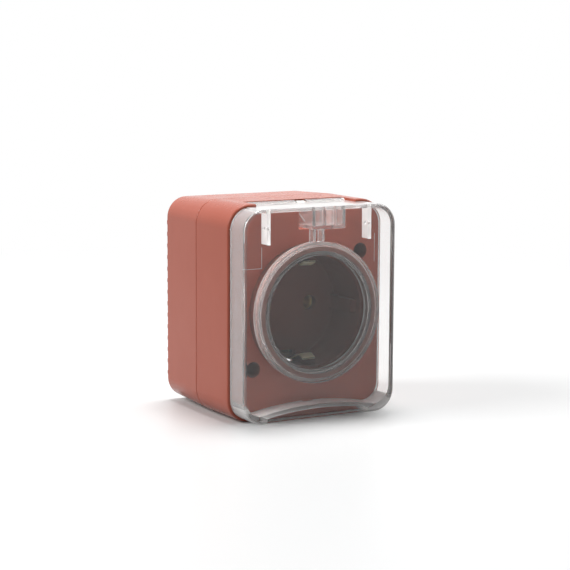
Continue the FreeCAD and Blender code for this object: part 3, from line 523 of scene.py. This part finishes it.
# Grey-brown tint for the right front rounding of the lid: painted shade.
PAINTED_SHADE_TINT = (0.78, 0.71, 0.7)
TERRACOTTA = from_srgb(194, 102, 81)
TERRACOTTA_DEEP = from_srgb(186, 95, 74)
TERRACOTTA_PALE = from_srgb(214, 150, 134)

# A darker terracotta for the plug well and the cover-screw wells: painted shade where little light gets in,
# on what is the same terracotta plastic.
PAINTED_SHADE_PLASTIC = MouldedPlastic("painted_shade_plastic", from_srgb(134, 78, 64), from_srgb(120, 68, 55),
                              from_srgb(150, 96, 82), roughness=0.4, grain_depth=0.000004,
                              edge_share=0.2, specular=0.1)
# Near-black brass for the earth clips' legs in their slots and their faces turned to the front or back:
# painted shade on the same plated strip.
PAINTED_SHADE_BRASS = Metal("painted_shade_brass", (0.1, 0.075, 0.045), (0.06, 0.045, 0.03), 0.6)


def make_finishes() -> dict[Slot, bpy.types.Material]:
    """Makes one material for each slot of the record."""
    finishes = {
        Slot.HOUSING: MouldedPlastic("terracotta_plastic", TERRACOTTA, TERRACOTTA_DEEP, TERRACOTTA_PALE),
        Slot.CARRIER: MouldedPlastic("dark_carrier", from_srgb(58, 54, 52), from_srgb(44, 40, 38),
                                     from_srgb(92, 86, 82), roughness=0.5),
        Slot.CLEAR: ClearPlastic("clear_plastic", CLEAR_COLOUR),
        Slot.SEAL: Rubber("lid_seal_rubber", from_srgb(164, 118, 109), from_srgb(176, 134, 126)),
        Slot.GROMMET: Rubber("grommet_rubber", from_srgb(70, 60, 57), from_srgb(92, 82, 78)),
        Slot.BRASS: Metal("bare_brass", (0.72, 0.52, 0.22), (0.42, 0.27, 0.1)),
        Slot.PLATED: Metal("plated_brass", (0.97, 0.91, 0.66), (0.8, 0.7, 0.42), roughness=0.35,
                           bare_share=0.25),
        Slot.STEEL: Metal("zinc_steel", (0.62, 0.62, 0.6), (0.4, 0.39, 0.36), roughness=0.34),
    }
    return {slot: finish.build() for slot, finish in finishes.items()}


# Meshes


def add_object(name: str, data: bpy.types.ID) -> bpy.types.Object:
    """Makes an object and links it to the scene.

    Args:
        name: The object's name.
        data: Its mesh, curve, lamp or camera.

    Returns:
        The object.
    """
    made = bpy.data.objects.new(name, data)
    bpy.context.scene.collection.objects.link(made)
    return made


def add_mesh(name: str, mesh: bmesh.types.BMesh) -> bpy.types.Object:
    """Turns an edit mesh into an object of the scene, and frees it.

    Args:
        name: The object's name.
        mesh: The edit mesh.

    Returns:
        The object.
    """
    data = bpy.data.meshes.new(name)
    mesh.to_mesh(data)
    mesh.free()
    return add_object(name, data)


def refined_copy(node: str, name: str, edge_radius: float, edge_finish: int = -1) -> bpy.types.Object:
    """Copies a node's mesh as clean flat faces and rounds its sharp edges, as a mould does.

    Args:
        node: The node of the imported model.
        name: The new piece's name.
        edge_radius: The radius of the rounding, in metres.
        edge_finish: The place of the rounded edges' finish among the piece's own, or -1 for none.

    Returns:
        The new piece.
    """
    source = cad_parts[node]
    mesh = bmesh.new()
    mesh.from_mesh(source.data)
    bmesh.ops.remove_doubles(mesh, verts=mesh.verts, dist=WELD_DISTANCE)
    bmesh.ops.dissolve_limit(mesh, angle_limit=FLAT_ANGLE, verts=mesh.verts, edges=mesh.edges)
    piece = add_mesh(name, mesh)
    marker = max(edge_finish, 1)
    for _ in range(marker + 1):
        piece.data.materials.append(None)
    rounding = piece.modifiers.new("rounding", "BEVEL")
    rounding.material = marker
    rounding.width = edge_radius
    rounding.segments = EDGE_STEPS
    rounding.limit_method = "ANGLE"
    rounding.angle_limit = EDGE_ANGLE
    rounding.use_clamp_overlap = False
    apply_modifiers(piece)
    mark_edges(piece, marker)
    if edge_finish < 0:
        for face in piece.data.polygons:
            face.material_index = 0
    return piece


def mark_edges(piece: bpy.types.Object, marker: int) -> None:
    """Stores on each point whether only rounded edges meet there, for the rubbed edges of a finish.

    Args:
        piece: The piece.
        marker: The material place that the rounded edges have.
    """
    data = piece.data
    inner = [True] * len(data.vertices)
    for face in data.polygons:
        if face.material_index != marker:
            for point in face.vertices:
                inner[point] = False
    mark = data.attributes.new(EDGE_MARK, "FLOAT", "POINT")
    mark.data.foreach_set("value", [float(is_inner) for is_inner in inner])


def apply_modifiers(piece: bpy.types.Object) -> None:
    """Makes the result of a piece's modifiers its mesh.

    Args:
        piece: The piece.
    """
    graph = bpy.context.evaluated_depsgraph_get()
    result = bpy.data.meshes.new_from_object(piece.evaluated_get(graph))
    piece.modifiers.clear()
    piece.data = result


def smooth(piece: bpy.types.Object) -> None:
    """Shades a piece smooth, with sharp edges where its faces meet at a clear angle.

    Args:
        piece: The piece.
    """
    data = piece.data
    data.shade_smooth()
    mesh = bmesh.new()
    mesh.from_mesh(data)
    for edge in mesh.edges:
        edge.smooth = len(edge.link_faces) == 2 and edge.calc_face_angle(0.0) < SMOOTH_ANGLE
    mesh.to_mesh(data)
    mesh.free()
    even = piece.modifiers.new("even_shading", "WEIGHTED_NORMAL")
    even.keep_sharp = True
    apply_modifiers(piece)


@dataclass
class SubAssembly:
    """A group of pieces that share a body, with what is needed to dress them."""

    finishes: dict[Slot, bpy.types.Material]
    body: BodyName = BodyName.HOUSING
    edge_radius: float = 0.12 * MILLIMETRE
    pieces: list[bpy.types.Object] = field(default_factory=list)

    def stand_in(self, node: str, name: str, slot: Slot, radius: float | None = None,
                 edge_finish: int = -1) -> bpy.types.Object:
        """Puts a refined copy in a node's place.

        Args:
            node: The node that it stands for.
            name: The piece's name.
            slot: The record's slot of its finish.
            radius: The radius of its edges, or None for the usual one.
            edge_finish: The place of the rounded edges' finish among the piece's own, or -1 for none.

        Returns:
            The piece.
        """
        piece = refined_copy(node, name, self.edge_radius if radius is None else radius, edge_finish)
        smooth(piece)
        self.adopt(piece, slot)
        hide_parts(node)
        return piece

    def adopt(self, piece: bpy.types.Object, slot: Slot, body: BodyName | None = None) -> None:
        """Gives a new piece its finish and its body.

        Args:
            piece: The piece.
            slot: The record's slot of its finish.
            body: The body that it moves with, or None for the sub-assembly's own.
        """
        piece.data.materials.clear()
        piece.data.materials.append(self.finishes[slot])
        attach(piece, (body or self.body).value)
        self.pieces.append(piece)

    def dress(self, node: str, slot: Slot) -> None:
        """Gives a node that stays its finish.

        Args:
            node: The node.
            slot: The record's slot of its finish.
        """
        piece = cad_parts[node]
        for place in piece.material_slots:
            place.material = self.finishes[slot]
        self.pieces.append(piece)


@dataclass
class Housing(SubAssembly):
    """The two moulded halves, the cord between them and the ring round the cable."""

    shell_radius: float = 0.18 * MILLIMETRE
    screw_x: float = 22.0 * MILLIMETRE
    screw_z: float = 19.8 * MILLIMETRE
    screw_radius: float = 3.9 * MILLIMETRE
    screw_lip: float = 2.0 * MILLIMETRE

    def build(self) -> None:
        """Makes and dresses the housing."""
        self.stand_in("rear_housing", "rear_shell", Slot.HOUSING, self.shell_radius)
        front = self.stand_in("front_housing", "front_shell", Slot.HOUSING, self.shell_radius)
        # Faces deep in the two cover-screw wells get the darker plastic: painted shade in the recesses.
        front.data.materials.append(PAINTED_SHADE_PLASTIC.build())
        face_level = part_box("front_housing")[0].y
        for face in front.data.polygons:
            middle = face.center
            offset = math.hypot(abs(middle.x) - self.screw_x, abs(middle.z) - self.screw_z)
            opposite = middle.x * middle.z > 0
            deep = middle.y > face_level + self.screw_lip
            face.material_index = int(offset < self.screw_radius and opposite and deep)
        self.dress("housing_seal", Slot.SEAL)
        self.stand_in("cable_grommet", "cable_ring", Slot.GROMMET, 2 * self.edge_radius)


@dataclass
class PlugWell(SubAssembly):
    """The round well and the sprung earth clips that reach into it."""

    clip_leg: float = 17.6 * MILLIMETRE

    def build(self) -> None:
        """Makes and dresses the well."""
        well = self.stand_in("well_insert", "plug_well", Slot.HOUSING)
        # The whole well gets the darker plastic: painted shade for its depth.
        well.data.materials[0] = PAINTED_SHADE_PLASTIC.build()
        clips = self.stand_in("earth_strip", "earth_clips", Slot.PLATED, self.edge_radius / 2)
        clips.data.materials.append(PAINTED_SHADE_BRASS.build())
        # Faces beyond where the legs start, and faces turned along Y, get the near-black brass: painted
        # shade inside the slots.
        for face in clips.data.polygons:
            face.material_index = int(abs(face.center.z) > self.clip_leg or abs(face.normal.y) > FACING)


@dataclass
class InnerWorks(SubAssembly):
    """The carrier behind the well with its contacts, terminals and screws."""

    poles: tuple[str, ...] = ("neutral", "live")

    def build(self) -> None:
        """Dresses the inner pieces."""
        self.dress("contact_carrier", Slot.CARRIER)
        for pole in self.poles:
            self.dress(f"{pole}_contact", Slot.BRASS)
        for pole in (*self.poles, "earth"):
            self.dress(f"{pole}_terminal", Slot.BRASS)
            self.dress(f"{pole}_terminal_screw", Slot.STEEL)
        for side in ("left", "right"):
            self.dress(f"carrier_screw_{side}", Slot.STEEL)
        for end in ("upper", "lower"):
            self.dress(f"cover_screw_{end}", Slot.STEEL)


class LidFinish(Enum):
    """The finishes of the lid's faces, by their place among the lid's materials. All but POLISHED and
    FROSTED are the same clear plastic made milky or tinted by place, which paints highlights and shade; the
    WALL veil does so only in part.
    """

    POLISHED = 0
    FROSTED = 1
    WALL = 2
    EAR = 3
    EDGE = 4
    RIB = 5
    BRIGHT = 6
    SHADED = 7


@dataclass
class Lid(SubAssembly):
    """The clear lid with its seal ring, and the pin and spring that carry it."""

    body: BodyName = BodyName.LID
    lid_radius: float = 0.15 * MILLIMETRE
    plate_depth: float = 2.3 * MILLIMETRE
    ear_middle: float = 20.6 * MILLIMETRE
    ear_half: float = 0.8 * MILLIMETRE
    ear_foot: float = 24.8 * MILLIMETRE
    box_left: float = -3.3 * MILLIMETRE
    box_right: float = 10.7 * MILLIMETRE
    box_foot: float = 25.0 * MILLIMETRE
    rib_reach: float = 26.6 * MILLIMETRE
    wall_side: float = 27.0 * MILLIMETRE
    top_level: float = 36.0 * MILLIMETRE
    reach: float = 0.05 * MILLIMETRE
    upward: float = 0.5
    turned: float = 0.15
    seal_gap: float = 0.08 * MILLIMETRE
    line_width: float = 0.16 * MILLIMETRE
    line_rise: float = 0.1 * MILLIMETRE
    line_steps: int = 6
    left_line: tuple[tuple[float, float], ...] = ((-0.0234, 0.0243), (-0.0234, 0.0171), (-0.0296, 0.0171))
    right_line: tuple[tuple[float, float], ...] = ((0.0227, 0.0269), (0.0227, 0.0169))
    spring_left: float = 0.174 * MILLIMETRE
    spring_radius: float = 1.11 * MILLIMETRE
    spring_wire: float = 0.5 * MILLIMETRE
    spring_pitch: float = 0.55 * MILLIMETRE
    spring_turns: float = 6 - 32 / 360
    spring_lean: float = math.radians(32)
    spring_leg: float = 8.4 * MILLIMETRE
    spring_tail: float = 1.2 * MILLIMETRE
    turn_points: int = 20
    wire_resolution: int = 4

    def build(self) -> None:
        """Makes and dresses the lid."""
        # The rounded edges get their own half-milky finish: painted highlight lines.
        lid = self.stand_in("lid", "clear_lid", Slot.CLEAR, self.lid_radius, LidFinish.EDGE.value)
        self.part_finishes(lid)
        self.make_seal()
        self.make_mould_lines()
        self.dress("hinge_pin", Slot.STEEL)
        self.make_spring()

    def make_seal(self) -> None:
        """Makes the soft ring between the ribs, a hair behind the plate so that light gets between them."""
        seal = self.stand_in("lid_seal", "lid_seal_ring", Slot.SEAL)
        low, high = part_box("lid_seal")
        for point in seal.data.vertices:
            if point.co.y < (low.y + high.y) / 2:
                point.co.y += self.seal_gap

    def part_finishes(self, lid: bpy.types.Object) -> None:
        """Gives the plate, its frosted inner face, the walls, ribs, ears and rounded edges a finish each.
        The milky and tinted finishes paint highlights and shade onto one clear plastic.

        Args:
            lid: The lid.
        """
        # The walls get a light milky veil: partly the lid's own haze, partly a painted sheen. The finishes
        # below reuse it as much stronger painted highlights.
        wall = ClearPlastic("wall_plastic", HAZE_AND_PAINTED_WHITE, roughness=0.05, clearness=0.82, shadow_share=0.93,
                            specular=0.5, ior=1.49)
        plastics = {
            LidFinish.FROSTED: ClearPlastic("frosted_plastic", CLEAR_COLOUR, roughness=0.1),
            LidFinish.WALL: wall,
            # Near-white milky ears: painted highlight for the light the clear ears catch from above.
            LidFinish.EAR: replace(wall, name="ear_highlight_plastic", roughness=0.15, clearness=0.2),
            # Half-milky rounded edges with a little mirror: painted highlight lines along every rounded
            # edge.
            LidFinish.EDGE: replace(wall, name="edge_highlight_plastic", roughness=0.15, clearness=0.62, mirror=0.12),
            # Ribs and spring box a little milky, with a little mirror: a faint painted highlight on clear
            # plastic.
            LidFinish.RIB: replace(wall, name="rib_highlight_plastic", clearness=0.88, mirror=0.04),
            # Mostly milky white for the top, the rear-facing faces and the bottom wall: painted light,
            # standing in for the backdrop's reflection on the top, the bright rear rim and light from the
            # table through the bottom.
            LidFinish.BRIGHT: replace(wall, name="painted_light_plastic", clearness=0.2),
            # Grey-brown tint on the right front rounding: painted shade.
            LidFinish.SHADED: replace(wall, name="painted_shade_edge_plastic", colour=PAINTED_SHADE_TINT, clearness=0.5),
        }
        finishes = {LidFinish.POLISHED: self.finishes[Slot.CLEAR]}
        finishes.update({finish: plastic.build() for finish, plastic in plastics.items()})
        lid.data.materials.clear()
        for finish in LidFinish:
            lid.data.materials.append(finishes[finish])
        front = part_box("lid")[0].y
        for face in lid.data.polygons:
            if face.material_index != LidFinish.EDGE.value:
                face.material_index = self.finish_of(face.center, face.normal, front).value

    def finish_of(self, middle: Vector, normal: Vector, front: float) -> LidFinish:
        """Tells which finish a face of the lid has.

        Args:
            middle: The face's middle.
            normal: Where it looks.
            front: The place of the lid's front along Y.

        Returns:
            The finish.
        """
        plate_back = front + self.plate_depth
        if abs(middle.y - front) < self.reach and normal.y < -FACING:
            return LidFinish.POLISHED
        if abs(middle.y - plate_back) < self.reach and normal.y > FACING:
            return LidFinish.FROSTED
        # The ears take the near-white milk: painted highlight.
        if abs(abs(middle.x) - self.ear_middle) < self.ear_half and middle.z > self.ear_foot:
            return LidFinish.EAR
        # Top faces are painted milky white: the backdrop's reflection.
        if middle.z > self.top_level and normal.z > FACING:
            return LidFinish.BRIGHT
        # The spring box takes the faint painted highlight.
        if middle.z > self.box_foot and self.box_left < middle.x < self.box_right:
            return LidFinish.RIB
        # Faces turned to the back are painted milky white: the bright rim line.
        if normal.y > FACING:
            return LidFinish.BRIGHT
        # The ring's ribs take the faint painted highlight.
        if math.hypot(middle.x, middle.z) < self.rib_reach:
            return LidFinish.RIB
        # The bottom wall's up- and down-facing faces are painted milky white: light from the table through
        # it.
        if abs(normal.z) > self.upward and middle.z < -self.wall_side:
            return LidFinish.BRIGHT
        # The right front rounding gets the grey-brown tint: painted shade.
        if middle.x > self.wall_side and normal.x > self.turned and normal.y < -self.turned:
            return LidFinish.SHADED
        # The right wall stays fully clear while the others take the milky veil: painted light and shade on
        # one plastic.
        return LidFinish.POLISHED if middle.x > self.wall_side else LidFinish.WALL

    def make_mould_lines(self) -> None:
        """Makes the two thin lines that the parts of the mould leave inside the plate."""
        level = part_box("lid")[0].y + self.plate_depth
        mesh = bmesh.new()
        for line in (self.left_line, self.right_line):
            for start, end in zip(line, line[1:]):
                self.add_line(mesh, Vector((start[0], level, start[1])), Vector((end[0], level, end[1])))
        piece = add_mesh("mould_lines", mesh)
        self.adopt(piece, Slot.CLEAR)
        # The mould lines take the ears' near-white milk: painted highlight along the lines.
        piece.data.materials[0] = bpy.data.materials["ear_highlight_plastic"]

    def add_line(self, mesh: bmesh.types.BMesh, start: Vector, end: Vector) -> None:
        """Adds one straight line with a rounded back.

        Args:
            mesh: The mesh that gets it.
            start: Its start on the plate.
            end: Its end on the plate.
        """
        along = (end - start).normalized()
        across = along.cross(Vector((0.0, 1.0, 0.0))) * self.line_width / 2
        steps = self.line_steps
        rings = []
        for place in (start - along * self.line_width / 2, end + along * self.line_width / 2):
            ring = []
            for step in range(steps + 1):
                turn = math.pi * step / steps
                out = Vector((0.0, self.line_rise * math.sin(turn), 0.0))
                ring.append(mesh.verts.new(place + across * math.cos(turn) + out))
            rings.append(ring)
        for first, second in zip(range(steps), range(1, steps + 1)):
            mesh.faces.new((rings[0][first], rings[0][second], rings[1][second], rings[1][first]))
        mesh.faces.new((rings[0][0], rings[1][0], rings[1][steps], rings[0][steps]))
        for ring in rings:
            mesh.faces.new(ring)
        bmesh.ops.recalc_face_normals(mesh, faces=mesh.faces)

    def make_spring(self) -> None:
        """Makes the torsion spring round the pin as one rigid coil; the real spring winds up as the lid
        opens.
        """
        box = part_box("hinge_pin")
        axis = (box[0] + box[1]) / 2
        count = round(self.spring_turns * self.turn_points)
        points = []
        for step in range(count + 1):
            turn = self.spring_lean + 2 * math.pi * self.spring_turns * step / count
            out = Vector((0.0, math.sin(turn), -math.cos(turn))) * self.spring_radius
            points.append(Vector((self.spring_left + self.spring_pitch * self.spring_turns * step / count,
                                  axis.y, axis.z)) + out)
        lean = Vector((0.0, math.cos(self.spring_lean), math.sin(self.spring_lean)))
        leg = points[0] - lean * self.spring_leg
        tail = points[-1] + Vector((0.0, self.spring_tail, 0.0))
        line = bpy.data.curves.new("closing_spring", "CURVE")
        line.dimensions = "3D"
        line.bevel_depth = self.spring_wire / 2
        line.bevel_resolution = self.wire_resolution
        line.use_fill_caps = True
        spline = line.splines.new("POLY")
        path = [leg, *points, tail]
        spline.points.add(len(path) - 1)
        for place, point in zip(spline.points, path):
            place.co = (*point, 1.0)
        piece = add_object("closing_spring", line)
        graph = bpy.context.evaluated_depsgraph_get()
        data = bpy.data.meshes.new_from_object(piece.evaluated_get(graph))
        bpy.data.objects.remove(piece)
        spring = add_object("closing_spring", data)
        smooth(spring)
        spring.data.materials.append(self.finishes[Slot.STEEL])
        self.pieces.append(spring)
        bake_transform(spring)
        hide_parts("lid_spring")


# Studio


@dataclass(frozen=True)
class SoftBox:
    """A square lamp that looks at the object."""

    name: str
    place: tuple[float, float, float]
    side: float
    level: float
    aim: tuple[float, float, float] = (0.0, -0.03, 0.0)

    def build(self) -> bpy.types.Object:
        """Makes the lamp. Its level is the brightness that it gives a white face turned to it."""
        way = Vector(self.aim) - Vector(self.place)
        lamp = bpy.data.lights.new(self.name, "AREA")
        lamp.shape = "SQUARE"
        lamp.size = self.side
        lamp.energy = self.level * math.pi ** 2 * way.length ** 2
        holder = add_object(self.name, lamp)
        holder.location = self.place
        holder.rotation_euler = way.to_track_quat("-Z", "Y").to_euler()
        return holder


@dataclass(frozen=True)
class Studio:
    """A pale table, a white surround and soft lamps."""

    table_height: float
    table_half: float = 3.0
    fade_start: float = 0.16
    fade_end: float = 0.45
    table_colour: Colour = (0.93, 0.935, 0.935)
    bounce_colour: Colour = (0.34, 0.34, 0.34)
    table_roughness: float = 0.4
    table_specular: float = 0.2
    surround_level: float = 0.07
    lamps: tuple[SoftBox, ...] = (
        SoftBox("lamp_left", (-1.1, 0.3, 0.75), 0.65, 0.6),
        SoftBox("lamp_top", (0.1, 0.18, 1.3), 0.5, 0.74),
        SoftBox("lamp_right", (1.0, 0.0, 0.9), 0.5, 0.2),
    )

    def build(self) -> None:
        """Makes the table, the surround and the lamps."""
        self.make_table()
        self.make_surround()
        for lamp in self.lamps:
            lamp.build()
        bpy.context.scene.view_settings.view_transform = "Standard"

    def make_table(self) -> bpy.types.Object:
        """Makes the table: it keeps the object's shadow, and fades to plain white further out."""
        mesh = bmesh.new()
        bmesh.ops.create_grid(mesh, x_segments=1, y_segments=1, size=self.table_half)
        table = add_mesh("table", mesh)
        table.location.z = self.table_height
        material, tree, shader = new_material("table_white")
        seen = self.seen_rays(tree)
        colour = blend_colours(tree, seen, self.bounce_colour, self.table_colour)
        feed(tree, shader.inputs["Base Color"], colour)
        shader.inputs["Roughness"].default_value = self.table_roughness
        shader.inputs["Specular IOR Level"].default_value = self.table_specular
        place = add_node(tree, "ShaderNodeNewGeometry").outputs["Position"]
        level = add_node(tree, "ShaderNodeVectorMath", operation="MULTIPLY")
        level.inputs[1].default_value = (1.0, 1.0, 0.0)
        feed(tree, level.inputs[0], place)
        length = add_node(tree, "ShaderNodeVectorMath", operation="LENGTH")
        feed(tree, length.inputs[0], level.outputs[0])
        far = spread(tree, length.outputs["Value"], self.fade_start, self.fade_end)
        white = tree.nodes.new("ShaderNodeEmission")
        share = maths(tree, "MULTIPLY", far, seen)
        mix_surface(tree, share, shader.outputs["BSDF"], white.outputs["Emission"])
        table.data.materials.append(material)
        return table

    @staticmethod
    def seen_rays(tree: Tree) -> Socket:
        """Gives 1 for rays that see the surround: from the camera, or by a reflection or through glass."""
        ways = tree.nodes.new("ShaderNodeLightPath")
        first = maths(tree, "MAXIMUM", ways.outputs["Is Camera Ray"], ways.outputs["Is Glossy Ray"])
        seen = maths(tree, "MAXIMUM", first, ways.outputs["Is Transmission Ray"])
        unscattered = maths(tree, "LESS_THAN", ways.outputs["Diffuse Depth"], 0.5)
        return maths(tree, "MULTIPLY", seen, unscattered)

    def make_surround(self) -> None:
        """Makes the world: white where it is seen, and a plain fill for the light on the object."""
        world = bpy.data.worlds.new("surround")
        bpy.context.scene.world = world
        world.use_nodes = True
        tree = world.node_tree
        tree.nodes.clear()
        output = tree.nodes.new("ShaderNodeOutputWorld")
        background = tree.nodes.new("ShaderNodeBackground")
        background.inputs["Color"].default_value = (1.0, 1.0, 1.0, 1.0)
        strength = spread(tree, self.seen_rays(tree), 0.0, 1.0, self.surround_level, 1.0)
        feed(tree, background.inputs["Strength"], strength)
        tree.links.new(background.outputs["Background"], output.inputs["Surface"])


@dataclass(frozen=True)
class PhotoCamera:
    """The camera of the photograph, found from the outline of the object in it."""

    target: tuple[float, float, float] = (-0.00022, -0.0345, 0.00688)
    distance: float = 0.65793
    azimuth: float = math.radians(30.5)
    pitch: float = math.radians(8.17)
    roll: float = math.radians(0.28)
    focal_pixels: float = 1819.64
    sensor: float = 36.0
    nearest: float = 0.05

    def build(self) -> bpy.types.Object:
        """Makes the camera and gives it to the scene."""
        back = Vector((-math.sin(self.azimuth) * math.cos(self.pitch),
                       -math.cos(self.azimuth) * math.cos(self.pitch), math.sin(self.pitch)))
        right = (-back).cross(Vector((0.0, 0.0, 1.0))).normalized()
        up = right.cross(-back)
        c, s = math.cos(self.roll), math.sin(self.roll)
        right, up = c * right + s * up, c * up - s * right
        lens = bpy.data.cameras.new("photo_camera")
        lens.sensor_width = self.sensor
        lens.lens = self.focal_pixels / PHOTO_SIDE * self.sensor
        lens.clip_start = self.nearest
        camera = add_object("photo_camera", lens)
        turn = Matrix((right, up, back)).transposed().to_4x4()
        camera.matrix_world = Matrix.Translation(Vector(self.target) + back * self.distance) @ turn
        bpy.context.scene.camera = camera
        return camera


def main() -> None:
    """Builds the studio and the sub-assemblies, and reports each piece."""
    logging.basicConfig(level=logging.INFO, format="%(name)s: %(message)s")
    PhotoCamera().build()
    Studio(table_height=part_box("front_housing")[0].z).build()
    finishes = make_finishes()
    for kind in (Housing, PlugWell, InnerWorks, Lid):
        assembly = kind(finishes)
        assembly.build()
        for piece in assembly.pieces:
            LOG.info("%s: %s, %d faces", kind.__name__, piece.name, len(piece.data.polygons))


if __name__ == "__main__":
    main()
